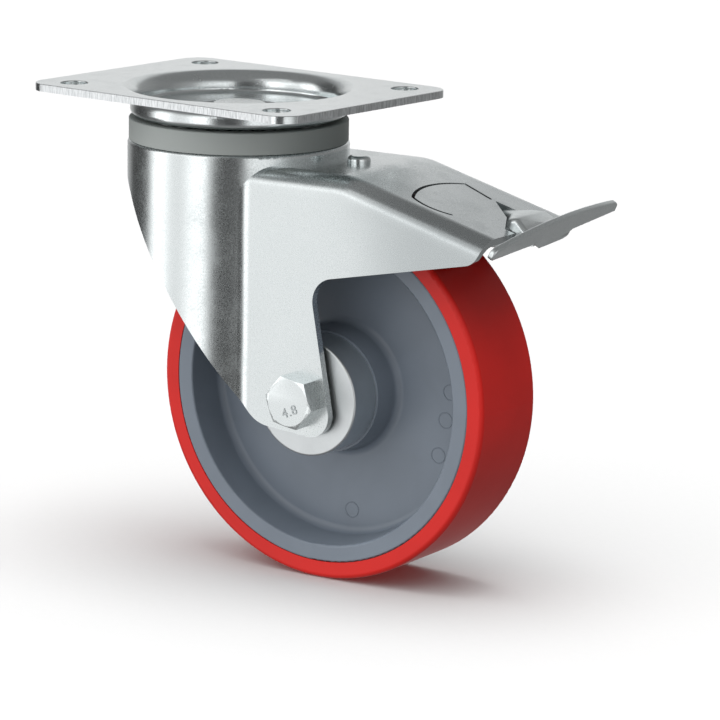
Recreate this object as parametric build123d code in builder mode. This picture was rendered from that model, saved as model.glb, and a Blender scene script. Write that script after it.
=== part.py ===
from build123d import *
import os
from math import cos, hypot, radians, sin, tan

# Swivel castor with a top plate, a double ball race and a foot brake.
# The origin is on the swivel axis at the top face of the plate, with Z up.
# The fork and all it carries are drawn trailing along +X, then turned
# together to the angle at which the castor stands.

# Overall sizes and clearances
total_height = 190.0
head_height = 40.0
wheel_width = 40.0
trail = 53.5
rest_swivel = 5.4
fit_clearance = 0.02
running_clearance = 0.05
match_tolerance = 0.01
cutting_reach = 10.0

# Top plate, with the dish that holds the upper race
plate_length = 135.0
plate_width = 105.0
plate_thickness = 3.0
plate_corner_radius = 10.0
plate_edge_radius = 0.4
hole_spacing_length = 105.0
hole_spacing_width = 80.0
mounting_hole_diameter = 11.0
punched_rim_radius = 0.45
dish_depth = 8.5
dish_wall_radius = 40.5
dish_shoulder_radius = 7.0
dish_floor_bend = 1.5
dish_foot_radius = 2.5
dish_centre_radius = 17.0
dish_centre_depth = 1.5

# Swivel head
upper_ball_diameter = 6.35
upper_ball_count = 24
upper_pitch_radius = 33.5
lower_ball_diameter = 6.0
lower_ball_count = 18
lower_pitch_radius = 25.5
race_groove_depth = 0.9
raised_race_radius = 40.6
raised_race_height = 5.0
raised_race_edge = 1.2
crown_opening_radius = 17.0
race_cup_radius = 32.0
race_cup_thickness = 3.0
race_cup_lip = 1.6
lock_ring_radius = 33.0
lock_ring_thickness = 3.0
lock_notch_count = 24
lock_notch_width = 4.0
lock_notch_depth = 4.5
seal_outer_radius = 44.0
seal_height = 8.6
seal_wall = 2.6
seal_edge_radius = 0.6
seal_lip_radius = 38.2
seal_lip_thickness = 1.2
kingpin_head_radius = 11.0
kingpin_head_height = 3.4
kingpin_head_edge = 1.5
kingpin_shank_radius = 8.0
kingpin_collar_radius = 12.0
kingpin_thread_radius = 6.0
kingpin_washer_radius = 12.0
washer_thickness = 2.0
nut_across_flats = 19.0
nut_height = 10.0
thread_stand_out = 2.0
hexagon_chamfer = 0.66
hexagon_corner_margin = 0.1
hexagon_face_step = 0.3

# Fork pressing
fork_sheet = 3.25
fork_width = 70.0
crown_radius = 44.5
crown_shoulder_radius = 1.8
waist_radius = 9.0
roof_depth = 25.3
roof_bend_x = 72.0
roof_fall_angle = 15.3
roof_bend_radius = 30.0
roof_edge_radius = 9.0
fork_end_reach = 29.5
skirt_front_depth = 28.0
skirt_corner_x = -31.0
skirt_corner_depth = 38.0
skirt_corner_round = 22.0
foot_front_reach = 21.0
foot_front_drop = 11.9
foot_front_round = 14.0
foot_rear_reach = 16.1
foot_rear_drop = 15.3
foot_rear_round = 9.0
knee_reach = 4.4
knee_rise = 47.8
knee_round = 10.0
panel_tail_reach = 24.5
panel_tail_drop = 7.7
panel_tail_round = 7.0
fork_tail_depth = 40.0

# Openings lanced in the roof
slit_width = 1.3
tongue_reach = 16.8
tongue_near_y = -21.2
tongue_far_y = 16.8
tongue_corner_reach = 5.0
tongue_side_length = 14.6
tongue_side_inset = 4.0
hook_length = 18.0
hook_width = 2.6
notch_corner_reach = 4.5
notch_waist_reach = 17.0
notch_mouth_reach = 24.0
notch_near_y = -11.8
notch_far_y = 13.0
notch_waist_y = 1.0

# Wheel
tread_thickness = 6.7
tread_corner_radius = 2.0
tread_key_height = 2.0
tread_key_width = 18.0
rim_lip_width = 6.8
rim_lip_edge = 0.8
recess_depth = 17.0
recess_draft = 1.8
recess_fillet_radius = 3.0
hub_root_radius = 26.0
hub_radius = 24.3
hub_shoulder = 15.0
hub_side_gap = 1.75
bearing_bore = 15.0
bearing_outer_diameter = 35.0
bearing_width = 11.0
bearing_ball_diameter = 5.953
bearing_ball_count = 8
bearing_ring_wall = 2.6
bearing_groove_depth = 1.0
bearing_seal_thickness = 0.9
bearing_seat_wall = 3.0
hub_cap_radius = 23.3
hub_cap_wall = 2.2
hub_cap_bore_radius = 10.6
hub_cap_edge = 0.8
bush_radius = 9.6
end_bush_length = 5.25

# Axle
axle_radius = 6.0
bolt_head_across_flats = 19.0
bolt_head_height = 7.5
axle_nut_height = 12.0
axle_washer_radius = 12.0
axle_washer_thickness = 2.5

# Foot brake
rivet_x = 57.5
rivet_head_radius = 4.6
rivet_head_height = 3.0
rivet_head_round = 1.8
rivet_shank_radius = 3.0
rivet_foot_radius = 5.0
rivet_foot_height = 2.0
rivet_play = 0.9
leaf_thickness = 2.5
leaf_width = 25.6
leaf_front_width = 12.0
leaf_front_x = 29.5
leaf_front_slope = 6.0
leaf_seat_length = 8.0
leaf_front_angle = 62.0
leaf_rear_angle = 46.5
lock_tooth_x = 31.3
lock_tooth_length = 2.4
lock_tooth_width = 2.8
lock_tooth_gap = 0.4
brake_gap = 2.8
pin_stand_off = 8.8
pin_bearing = 52.3
pin_radius = 2.5
pin_head_radius = 4.0
pin_head_height = 1.5
ear_centre_y = 15.0
ear_round = 6.5
ear_reach = 8.0
cheek_thickness = 2.5
cheek_round = 5.4
cam_reach = 11.2
cam_tip_radius = 2.2
cam_lag_angle = 45.0
arm_half_width = 12.9
arm_web_gap = 0.7
arm_reach = 26.0
hump_gap = 0.8
hump_front_drop = 3.5
hump_top_reach = 23.0
hump_top_length = 5.5
hump_top_rise = 7.0
hump_rear_drop = 1.6
hump_edge_radius = 2.0
foot_plate_width = 86.0
foot_plate_thickness = 2.5
foot_plate_crown = 7.0
foot_plate_end_rise = 3.4
foot_plate_wing_drop = 1.2
foot_plate_front = 4.8
foot_plate_front_width = 16.0
foot_plate_wing_start = 13.0
foot_plate_tilt = 60.0
foot_plate_skew = 5.8
foot_plate_reach = 38.0
foot_plate_rise = 3.5
foot_plate_tip_radius = 3.2
foot_plate_edge_radius = 0.7

# Worked out from the sizes above
wheel_diameter = total_height - head_height
wheel_radius = wheel_diameter / 2
wheel_drop = total_height - wheel_radius
half_fork = fork_width / 2
leg_inner = half_fork - fork_sheet
hub_length = 2 * (leg_inner - hub_side_gap)
bearing_offset = leg_inner - end_bush_length - bearing_width
floor_z = -total_height - cutting_reach
dish_floor = -dish_depth
dish_underside = dish_floor - plate_thickness
dish_centre = dish_floor - dish_centre_depth
race_top = dish_underside - upper_ball_diameter + 2 * race_groove_depth
race_underside = race_top - fork_sheet
shoulder_top = race_top - raised_race_height
cup_top = race_underside - lower_ball_diameter + 2 * race_groove_depth
cup_underside = cup_top - race_cup_thickness
lock_ring_underside = cup_underside - lock_ring_thickness
kingpin_nut_top = lock_ring_underside - washer_thickness
roof_slope = tan(radians(roof_fall_angle))
roof_underside = -roof_depth - fork_sheet
rim_radius = wheel_radius - tread_thickness
recess_radius = rim_radius - rim_lip_width
web_half = wheel_width / 2 - recess_depth
bearing_centre = bearing_offset + bearing_width / 2
bearing_bore_radius = bearing_bore / 2
bearing_outer_radius = bearing_outer_diameter / 2
bearing_pitch_radius = (bearing_bore_radius + bearing_outer_radius) / 2
seat_outer_radius = bearing_outer_radius + bearing_seat_wall
wheel_axis = Axis((trail, 0, -wheel_drop), (0, 1, 0))
wheel_plane = Plane(origin=(trail, 0, -wheel_drop), x_dir=(1, 0, 0), z_dir=(0, 0, 1))
leaf_top_z = roof_underside - running_clearance
leaf_top_radius = wheel_radius + brake_gap + leaf_thickness
pin_x = trail + (leaf_top_radius + pin_stand_off) * cos(radians(pin_bearing))
pin_depth = wheel_drop - (leaf_top_radius + pin_stand_off) * sin(radians(pin_bearing))
fork_end_x = pin_x + fork_end_reach
panel_tail_x = pin_x + panel_tail_reach
panel_tail_depth = pin_depth + panel_tail_drop
tongue_front_x = pin_x - tongue_reach


def roof_top_at(x):
    """Height of the roof's outer face behind its bend."""
    return -roof_depth - (x - roof_bend_x) * roof_slope


def hexagon(across_flats):
    """Hexagon of a nut or a bolt head, for use inside a sketch."""
    RegularPolygon(across_flats / 2, 6, major_radius=False)


def ball_track(axis, plane, pitch, reach, ball_radius):
    """Round groove that a set of balls runs in, as a tool to cut with."""
    with BuildPart() as track:
        with BuildSketch(plane):
            with Locations((pitch, reach)):
                Circle(ball_radius + running_clearance)
        revolve(axis=axis)
    return track.part


def pressed_form(inset):
    """Outer form of the fork pressing, or the hollow in it when inset by the sheet."""
    with BuildPart() as form:
        with BuildSketch(Plane.XY.offset(floor_z)) as plan:
            Circle(crown_radius - inset)
            with Locations((fork_end_x, 0)):
                Rectangle(2 * fork_end_x, fork_width - 2 * inset)
            beside_crown = half_fork - inset - 1
            waist = plan.vertices().filter_by(
                lambda v: abs(v.Y) > beside_crown and 0 < v.X < crown_radius
            )
            fillet(waist, waist_radius + inset)
        extrude(amount=-floor_z)
        with BuildSketch(Plane.XZ):
            with BuildLine():
                far = 3 * fork_end_x
                level = -roof_depth - inset
                bend = roof_bend_x - inset * tan(radians(roof_fall_angle) / 2)
                fall = (far - bend) * roof_slope
                FilletPolyline(
                    (-far, level), (bend, level), (far, level - fall), radius=roof_bend_radius - inset
                )
                Polyline((far, level - fall), (far, far), (-far, far), (-far, level))
            make_face()
        extrude(amount=2 * crown_radius, both=True, mode=Mode.SUBTRACT)
        roof_faces = form.faces().filter_by(lambda f: f.normal_at().Z > 0.5)
        rims = roof_faces.edges().filter_by(
            lambda e: abs((e @ 0.5).Y) > half_fork - inset - 0.5
            or hypot((e @ 0.5).X, (e @ 0.5).Y) < crown_radius - inset + 0.5
        )
        fillet(rims, roof_edge_radius - inset)
        with BuildSketch(Plane.XY.offset(floor_z)):
            Circle(crown_radius - inset)
        extrude(amount=shoulder_top - inset - floor_z)
    return form


def notch_outline(gap):
    """Corners of the opening in the roof's rear end, or of what fits into it with a gap."""
    mouth = fork_end_x + roof_edge_radius
    return [
        (mouth, notch_near_y + gap),
        (pin_x + notch_mouth_reach + gap, notch_near_y + gap),
        (pin_x + notch_waist_reach + gap, notch_waist_y + gap),
        (pin_x + notch_corner_reach + 2 * gap, notch_far_y - gap),
        (mouth, notch_far_y - gap),
    ]


outer_form = pressed_form(0)
hollow_form = pressed_form(fork_sheet)

with BuildPart() as top_plate:
    with BuildSketch(Plane.XY.offset(-plate_thickness)):
        RectangleRounded(plate_length, plate_width, plate_corner_radius)
    extrude(amount=plate_thickness)
    fillet(top_plate.edges().group_by(Axis.Z)[-1], plate_edge_radius)
    with BuildSketch():
        Circle(dish_wall_radius + dish_shoulder_radius)
    extrude(amount=-plate_thickness, mode=Mode.SUBTRACT)
    with BuildSketch(Plane.XZ):
        with BuildLine():
            wall = dish_wall_radius
            outer_wall = wall + plate_thickness
            shoulder = wall + dish_shoulder_radius
            foot = outer_wall - dish_foot_radius
            floor_edge = wall - dish_floor_bend
            centre_edge = dish_centre_radius
            Polyline((0, dish_centre), (centre_edge, dish_centre), (centre_edge + dish_centre_depth, dish_floor))
            Line((centre_edge + dish_centre_depth, dish_floor), (floor_edge, dish_floor))
            RadiusArc((floor_edge, dish_floor), (wall, dish_floor + dish_floor_bend), -dish_floor_bend)
            RadiusArc((wall, -dish_shoulder_radius), (shoulder, 0), dish_shoulder_radius)
            Line((shoulder, 0), (shoulder, -plate_thickness))
            RadiusArc(
                (shoulder, -plate_thickness),
                (outer_wall, -dish_shoulder_radius),
                -(dish_shoulder_radius - plate_thickness),
            )
            Line((outer_wall, -dish_shoulder_radius), (outer_wall, dish_underside + dish_foot_radius))
            RadiusArc((outer_wall, dish_underside + dish_foot_radius), (foot, dish_underside), dish_foot_radius)
            Polyline(
                (foot, dish_underside),
                (centre_edge + dish_centre_depth, dish_underside),
                (centre_edge, dish_centre - plate_thickness),
                (0, dish_centre - plate_thickness),
                (0, dish_centre),
            )
        make_face()
    revolve(axis=Axis.Z)
    upper_ball_height = dish_underside - upper_ball_diameter / 2 + race_groove_depth
    add(
        ball_track(Axis.Z, Plane.XZ, upper_pitch_radius, upper_ball_height, upper_ball_diameter / 2),
        mode=Mode.SUBTRACT,
    )
    with GridLocations(hole_spacing_length, hole_spacing_width, 2, 2):
        Hole(mounting_hole_diameter / 2)
    Hole(kingpin_shank_radius + fit_clearance)
    hole_rims = top_plate.edges().filter_by(GeomType.CIRCLE).filter_by(
        lambda e: abs(e.radius - mounting_hole_diameter / 2) < 0.01 and e.center().Z > -0.1
    )
    fillet(hole_rims, punched_rim_radius)

with BuildPart(Plane.XY.offset(upper_ball_height)) as upper_balls:
    with PolarLocations(upper_pitch_radius, upper_ball_count):
        Sphere(upper_ball_diameter / 2)

lower_ball_height = cup_top + lower_ball_diameter / 2 - race_groove_depth
with BuildPart(Plane.XY.offset(lower_ball_height)) as lower_balls:
    with PolarLocations(lower_pitch_radius, lower_ball_count):
        Sphere(lower_ball_diameter / 2)

with BuildPart() as kingpin:
    with BuildSketch(Plane.XZ):
        with BuildLine():
            Polyline(
                (0, dish_centre + kingpin_head_height),
                (kingpin_head_radius, dish_centre + kingpin_head_height),
                (kingpin_head_radius, dish_centre),
                (kingpin_shank_radius, dish_centre),
                (kingpin_shank_radius, dish_centre - plate_thickness),
                (kingpin_collar_radius, dish_centre - plate_thickness),
                (kingpin_collar_radius, cup_top),
                (kingpin_thread_radius, cup_top),
                (kingpin_thread_radius, kingpin_nut_top - nut_height - thread_stand_out),
                (0, kingpin_nut_top - nut_height - thread_stand_out),
                (0, dish_centre + kingpin_head_height),
            )
        make_face()
    revolve(axis=Axis.Z)
    fillet(kingpin.edges().group_by(Axis.Z)[-1], kingpin_head_edge)
    chamfer(kingpin.edges().group_by(Axis.Z)[0], 1)

with BuildPart() as race_cup:
    with BuildSketch(Plane.XZ):
        with BuildLine():
            Polyline(
                (kingpin_thread_radius + fit_clearance, cup_top),
                (race_cup_radius - race_cup_thickness, cup_top),
                (race_cup_radius - race_cup_thickness, cup_top + race_cup_lip),
                (race_cup_radius, cup_top + race_cup_lip),
                (race_cup_radius, cup_underside),
                (kingpin_thread_radius + fit_clearance, cup_underside),
                close=True,
            )
        make_face()
    revolve(axis=Axis.Z)
    fillet(race_cup.edges().filter_by(GeomType.CIRCLE).group_by(Axis.Z)[0].sort_by(SortBy.RADIUS)[-1], 1.5)
    add(
        ball_track(Axis.Z, Plane.XZ, lower_pitch_radius, lower_ball_height, lower_ball_diameter / 2),
        mode=Mode.SUBTRACT,
    )

with BuildPart() as lock_ring:
    with BuildSketch(Plane.XY.offset(lock_ring_underside)):
        Circle(lock_ring_radius)
        Circle(kingpin_thread_radius + fit_clearance, mode=Mode.SUBTRACT)
        with PolarLocations(lock_ring_radius, lock_notch_count, start_angle=rest_swivel):
            SlotCenterToCenter(2 * lock_notch_depth - lock_notch_width, lock_notch_width, mode=Mode.SUBTRACT)
    extrude(amount=lock_ring_thickness)

with BuildPart() as kingpin_washer:
    with BuildSketch(Plane.XY.offset(kingpin_nut_top)):
        Circle(kingpin_washer_radius)
        Circle(kingpin_thread_radius + fit_clearance, mode=Mode.SUBTRACT)
    extrude(amount=washer_thickness)


def hexagon_cone(plane, height, across_flats, double):
    """Chamfered envelope that a nut or a bolt head is turned to."""
    outer = across_flats / 2
    corner = outer / cos(radians(30)) + hexagon_corner_margin
    with BuildPart() as cone:
        with BuildSketch(plane):
            Circle(corner)
        extrude(amount=height)
        ends = cone.edges().filter_by(GeomType.CIRCLE)
        if not double:
            ends = ShapeList([max(ends, key=lambda e: (e.center() - plane.origin).length)])
        chamfer(ends, length=hexagon_chamfer, length2=corner - outer + hexagon_face_step)
    return cone.part


def hexagon_nut(plane, height):
    """Plain nut, chamfered at both ends, standing on a plane."""
    with BuildPart() as nut:
        with BuildSketch(plane):
            hexagon(nut_across_flats)
        extrude(amount=height)
        add(hexagon_cone(plane, height, nut_across_flats, True), mode=Mode.INTERSECT)
        with BuildSketch(plane):
            Circle(kingpin_thread_radius + fit_clearance)
        extrude(amount=height, mode=Mode.SUBTRACT)
    return nut


kingpin_nut = hexagon_nut(Plane.XY.offset(kingpin_nut_top - nut_height), nut_height)

with BuildPart() as dust_seal:
    with BuildSketch(Plane.XZ):
        with BuildLine():
            Polyline(
                (seal_outer_radius, shoulder_top),
                (seal_outer_radius, shoulder_top + seal_height),
                (seal_lip_radius, shoulder_top + seal_height),
                (seal_lip_radius, shoulder_top + seal_height - seal_lip_thickness),
                (seal_outer_radius - seal_wall, shoulder_top + seal_height - seal_lip_thickness),
                (seal_outer_radius - seal_wall, shoulder_top),
                close=True,
            )
        make_face()
    revolve(axis=Axis.Z)
    fillet(dust_seal.edges().group_by(Axis.Z)[-1].sort_by(SortBy.RADIUS)[-1], seal_edge_radius)

with BuildPart() as fork:
    add(outer_form.part)
    crown_rings = fork.edges().filter_by(GeomType.CIRCLE).filter_by(
        lambda e: abs(e.radius - crown_radius) < match_tolerance and abs(e.arc_center.X) < match_tolerance
    )
    shoulder_ring = crown_rings.filter_by(lambda e: abs((e @ 0.5).Z - shoulder_top) < match_tolerance)
    fillet(shoulder_ring, crown_shoulder_radius)
    with BuildSketch(Plane.XY.offset(shoulder_top)):
        Circle(raised_race_radius)
    extrude(amount=raised_race_height)
    fillet(fork.edges().group_by(Axis.Z)[-1], raised_race_edge)
    add(hollow_form.part, mode=Mode.SUBTRACT)
    with BuildSketch(Plane.XY.offset(shoulder_top - fork_sheet)):
        Circle(raised_race_radius - fork_sheet)
    extrude(amount=raised_race_height, mode=Mode.SUBTRACT)
    with BuildSketch(Plane.XZ):
        with BuildLine():
            axle = (trail, -wheel_drop)
            FilletPolyline(
                (-crown_radius - cutting_reach, -skirt_front_depth),
                (skirt_corner_x, -skirt_corner_depth),
                (trail - foot_front_reach, -wheel_drop - foot_front_drop),
                (trail + foot_rear_reach, -wheel_drop - foot_rear_drop),
                (trail + knee_reach, -wheel_drop + knee_rise),
                (panel_tail_x, -panel_tail_depth),
                (fork_end_x, -fork_tail_depth),
                radius=(
                    skirt_corner_round,
                    foot_front_round,
                    foot_rear_round,
                    knee_round,
                    panel_tail_round,
                ),
            )
            Polyline(
                (fork_end_x, -fork_tail_depth),
                (fork_end_x, 0),
                (-crown_radius - cutting_reach, 0),
                (-crown_radius - cutting_reach, -skirt_front_depth),
            )
        make_face()
    extrude(amount=2 * crown_radius, both=True, mode=Mode.INTERSECT)
    with BuildSketch():
        Circle(crown_opening_radius)
    extrude(amount=shoulder_top - fork_sheet, mode=Mode.SUBTRACT)
    add(
        ball_track(Axis.Z, Plane.XZ, upper_pitch_radius, upper_ball_height, upper_ball_diameter / 2),
        mode=Mode.SUBTRACT,
    )
    add(
        ball_track(Axis.Z, Plane.XZ, lower_pitch_radius, lower_ball_height, lower_ball_diameter / 2),
        mode=Mode.SUBTRACT,
    )
    with BuildSketch(Plane(origin=(trail, 0, -wheel_drop), z_dir=(0, 1, 0))):
        Circle(axle_radius + running_clearance)
    extrude(amount=fork_width, both=True, mode=Mode.SUBTRACT)
    with BuildSketch(Plane.XY.offset(-panel_tail_depth)):
        with Locations((rivet_x, 0)):
            Circle(rivet_shank_radius + fit_clearance)
        with BuildLine():
            Polyline(*notch_outline(0), close=True)
        make_face()
        with BuildLine() as tongue_line:
            ThreePointArc(
                (tongue_front_x + tongue_corner_reach, tongue_near_y),
                (tongue_front_x, (tongue_near_y + tongue_far_y) / 2),
                (tongue_front_x + tongue_corner_reach, tongue_far_y),
            )
            side_end = (
                tongue_front_x + tongue_corner_reach + tongue_side_length,
                tongue_far_y - tongue_side_inset,
            )
            Line((tongue_front_x + tongue_corner_reach, tongue_far_y), side_end)
        with BuildLine() as hook_line:
            hook_start = (tongue_front_x + tongue_corner_reach, tongue_near_y)
            hook_middle = (hook_start[0] + hook_length / 2, tongue_near_y - hook_width)
            ThreePointArc(hook_start, hook_middle, (hook_start[0] + hook_length, tongue_near_y))
        trace(tongue_line.edges() + hook_line.edges(), slit_width)
    extrude(amount=panel_tail_depth, mode=Mode.SUBTRACT)
    for side in (-1, 1):
        ear_side_y = side * (ear_centre_y + fork_sheet / 2)
        ear_plane = Plane(origin=(0, ear_side_y, 0), x_dir=(1, 0, 0), z_dir=(0, -1, 0))
        with BuildSketch(ear_plane):
            with BuildLine():
                Polyline(
                    (pin_x - ear_reach, roof_top_at(pin_x - ear_reach) - fork_sheet / 2),
                    (pin_x + ear_reach, roof_top_at(pin_x + ear_reach) - fork_sheet / 2),
                    (pin_x + ear_round, -pin_depth),
                    (pin_x - ear_round, -pin_depth),
                    close=True,
                )
            make_face()
            with Locations((pin_x, -pin_depth)):
                Circle(ear_round)
                Circle(pin_radius + fit_clearance, mode=Mode.SUBTRACT)
        extrude(amount=side * fork_sheet)

axle_plane = Plane(origin=(trail, 0, -wheel_drop), x_dir=(1, 0, 0), z_dir=(0, -1, 0))


def turned_on_axle(outline):
    """Solid turned about the wheel's axis from a closed outline of (radius, reach) points."""
    with BuildPart() as turned:
        with BuildSketch(wheel_plane):
            with BuildLine():
                Polyline(*outline, close=True)
            make_face()
        revolve(axis=wheel_axis)
    return turned


def tube_on_axle(inner, outer, near, far):
    """Plain tube on the wheel's axis between two distances along it."""
    return turned_on_axle([(inner, near), (outer, near), (outer, far), (inner, far)])


head_start = half_fork
with BuildPart() as axle_bolt:
    with BuildSketch(axle_plane.offset(head_start)):
        hexagon(bolt_head_across_flats)
    extrude(amount=bolt_head_height)
    add(
        hexagon_cone(axle_plane.offset(head_start), bolt_head_height, bolt_head_across_flats, False),
        mode=Mode.INTERSECT,
    )
    with BuildSketch(axle_plane.offset(head_start)):
        Circle(axle_radius)
    extrude(amount=-(fork_width + axle_washer_thickness + axle_nut_height + thread_stand_out))
    chamfer(axle_bolt.edges().group_by(Axis.Y)[-1], 1)

axle_washer = tube_on_axle(
    axle_radius + running_clearance, axle_washer_radius, half_fork, half_fork + axle_washer_thickness
)
axle_nut = hexagon_nut(axle_plane.offset(-half_fork - axle_washer_thickness - axle_nut_height), axle_nut_height)
axle_tube = tube_on_axle(
    axle_radius + running_clearance, bearing_bore_radius - fit_clearance, -leg_inner, leg_inner
)
centre_bush = tube_on_axle(bearing_bore_radius, bush_radius, -bearing_offset, bearing_offset)


def both_sides(inner, outer, near, far):
    """Pair of like tubes, one at each end of the hub."""
    return {
        "left": tube_on_axle(inner, outer, -far, -near),
        "right": tube_on_axle(inner, outer, near, far),
    }


bearing_far = bearing_offset + bearing_width
bushes = both_sides(bearing_bore_radius, bush_radius, bearing_far, leg_inner)


def bearing_ring(side, inner, outer):
    """Ring of a ball bearing, with the groove that its balls run in."""
    centre = side * bearing_centre
    ring = tube_on_axle(inner, outer, centre - bearing_width / 2, centre + bearing_width / 2)
    groove = ball_track(wheel_axis, wheel_plane, bearing_pitch_radius, centre, bearing_ball_diameter / 2)
    with BuildPart() as grooved:
        add(ring.part)
        add(groove, mode=Mode.SUBTRACT)
    return grooved


def bearing_balls(side):
    """Balls of one bearing, all of them in one group."""
    ball_plane = Plane(origin=(trail, side * bearing_centre, -wheel_drop), x_dir=(1, 0, 0), z_dir=(0, 1, 0))
    with BuildPart(ball_plane) as balls:
        with PolarLocations(bearing_pitch_radius, bearing_ball_count):
            Sphere(bearing_ball_diameter / 2)
    return balls


def hub_cap(side):
    """Cup-shaped cap pressed over the end of the hub."""
    near = side * hub_shoulder
    far = side * hub_length / 2
    inside = far - side * hub_cap_wall
    seat = seat_outer_radius + fit_clearance
    with BuildPart() as cap:
        with BuildSketch(wheel_plane):
            with BuildLine():
                Polyline(
                    (seat, near),
                    (hub_cap_radius, near),
                    (hub_cap_radius, far),
                    (hub_cap_bore_radius, far),
                    (hub_cap_bore_radius, inside),
                    (seat, inside),
                    close=True,
                )
            make_face()
        revolve(axis=wheel_axis)
        rim = cap.edges().filter_by(GeomType.CIRCLE).filter_by(
            lambda e: abs(e.radius - hub_cap_radius) < match_tolerance
            and abs((e @ 0).Y - far) < match_tolerance
        )
        fillet(rim, hub_cap_edge)
    return cap


with BuildPart() as wheel_centre:
    half_width = wheel_width / 2
    key = tread_key_width / 2
    with BuildSketch(wheel_plane) as centre_section:
        with BuildLine():
            Polyline(
                (bearing_outer_radius, bearing_offset),
                (bearing_outer_radius, bearing_far + bearing_seal_thickness),
                (seat_outer_radius, bearing_far + bearing_seal_thickness),
                (seat_outer_radius, hub_shoulder),
                (hub_radius, hub_shoulder),
                (hub_root_radius, web_half),
                (recess_radius - recess_draft, web_half),
                (recess_radius, half_width),
                (rim_radius, half_width),
                (rim_radius, key),
                (rim_radius + tread_key_height, key - tread_key_height),
                (rim_radius + tread_key_height, tread_key_height - key),
                (rim_radius, -key),
                (rim_radius, -half_width),
                (recess_radius, -half_width),
                (recess_radius - recess_draft, -web_half),
                (hub_root_radius, -web_half),
                (hub_radius, -hub_shoulder),
                (seat_outer_radius, -hub_shoulder),
                (seat_outer_radius, -bearing_far - bearing_seal_thickness),
                (bearing_outer_radius, -bearing_far - bearing_seal_thickness),
                (bearing_outer_radius, -bearing_offset),
                (bearing_outer_radius - bearing_ring_wall, -bearing_offset),
                (bearing_outer_radius - bearing_ring_wall, bearing_offset),
                close=True,
            )
        make_face()
        inner_corners = centre_section.vertices().filter_by(
            lambda v: abs(abs(v.Y) - web_half) < 0.01
        )
        fillet(inner_corners, recess_fillet_radius)
        lip_corners = centre_section.vertices().filter_by(
            lambda v: abs(abs(v.Y) - half_width) < match_tolerance and v.X - trail < recess_radius + 1
        )
        fillet(lip_corners, rim_lip_edge)
    revolve(axis=wheel_axis)

with BuildPart() as tread:
    with BuildSketch(wheel_plane) as tread_section:
        with BuildLine():
            Polyline(
                (rim_radius, half_width),
                (wheel_radius, half_width),
                (wheel_radius, -half_width),
                (rim_radius, -half_width),
                (rim_radius, -key),
                (rim_radius + tread_key_height, tread_key_height - key),
                (rim_radius + tread_key_height, key - tread_key_height),
                (rim_radius, key),
                close=True,
            )
        make_face()
        fillet(tread_section.vertices().group_by(Axis.X)[-1], tread_corner_radius)
    revolve(axis=wheel_axis)

with BuildPart() as roof_rivet:
    with BuildSketch(Plane.XZ):
        with BuildLine():
            rivet_foot_top = leaf_top_z - leaf_thickness - rivet_play
            Polyline(
                (rivet_x, -roof_depth + rivet_head_height),
                (rivet_x + rivet_head_radius, -roof_depth + rivet_head_height),
                (rivet_x + rivet_head_radius, -roof_depth),
                (rivet_x + rivet_shank_radius, -roof_depth),
                (rivet_x + rivet_shank_radius, rivet_foot_top),
                (rivet_x + rivet_foot_radius, rivet_foot_top),
                (rivet_x + rivet_foot_radius, rivet_foot_top - rivet_foot_height),
                (rivet_x, rivet_foot_top - rivet_foot_height),
                close=True,
            )
        make_face()
    revolve(axis=Axis((rivet_x, 0, 0), (0, 0, 1)))
    fillet(roof_rivet.edges().group_by(Axis.Z)[-1], rivet_head_round)

with BuildPart() as brake_leaf:
    with BuildSketch(Plane.XZ) as leaf_side:
        with BuildLine():
            axle_x, axle_z = trail, -wheel_drop
            front_drop = (rivet_x - leaf_front_x) * tan(radians(leaf_front_slope))
            start = radians(leaf_front_angle)
            finish = radians(leaf_rear_angle)
            middle = (start + finish) / 2
            upper = leaf_top_radius
            lower = leaf_top_radius - leaf_thickness

            def around_wheel(radius, angle):
                return (axle_x + radius * cos(angle), axle_z + radius * sin(angle))

            Polyline(
                (leaf_front_x, leaf_top_z - front_drop),
                (rivet_x, leaf_top_z),
                (rivet_x + leaf_seat_length, leaf_top_z),
                around_wheel(upper, start),
            )
            ThreePointArc(around_wheel(upper, start), around_wheel(upper, middle), around_wheel(upper, finish))
            Line(around_wheel(upper, finish), around_wheel(lower, finish))
            ThreePointArc(around_wheel(lower, finish), around_wheel(lower, middle), around_wheel(lower, start))
            Polyline(
                around_wheel(lower, start),
                (rivet_x + leaf_seat_length - leaf_thickness / 3, leaf_top_z - leaf_thickness),
                (rivet_x, leaf_top_z - leaf_thickness),
                (leaf_front_x, leaf_top_z - leaf_thickness - front_drop),
                (leaf_front_x, leaf_top_z - front_drop),
            )
        make_face()
    extrude(amount=leaf_width / 2, both=True)
    with BuildSketch(Plane.XY.offset(leaf_top_z - 3 * leaf_thickness)):
        for side in (-1, 1):
            with Locations((leaf_front_x, side * leaf_width / 2)):
                Rectangle(rivet_x - leaf_front_x, leaf_width - leaf_front_width)
        with Locations((rivet_x, 0)):
            Circle(rivet_shank_radius + rivet_play)
    extrude(amount=4 * leaf_thickness, mode=Mode.SUBTRACT)
    tooth_base = leaf_top_z - (rivet_x - lock_tooth_x) * tan(radians(leaf_front_slope)) - leaf_thickness / 2
    with BuildSketch(Plane.XY.offset(tooth_base)):
        with Locations((lock_tooth_x, 0)):
            Rectangle(lock_tooth_length, lock_tooth_width)
    extrude(amount=lock_ring_underside - lock_tooth_gap - tooth_base)

with BuildPart() as pedal_pin:
    with BuildSketch(Plane(origin=(pin_x, 0, -pin_depth), z_dir=(0, 1, 0))):
        Circle(pin_radius)
    extrude(amount=ear_centre_y + fork_sheet / 2 + pin_head_height, both=True)
    for side in (-1, 1):
        head_y = side * (ear_centre_y + fork_sheet / 2)
        head_plane = Plane(origin=(pin_x, head_y, -pin_depth), z_dir=(0, side, 0))
        with BuildSketch(head_plane):
            Circle(pin_head_radius)
        extrude(amount=pin_head_height)

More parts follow.
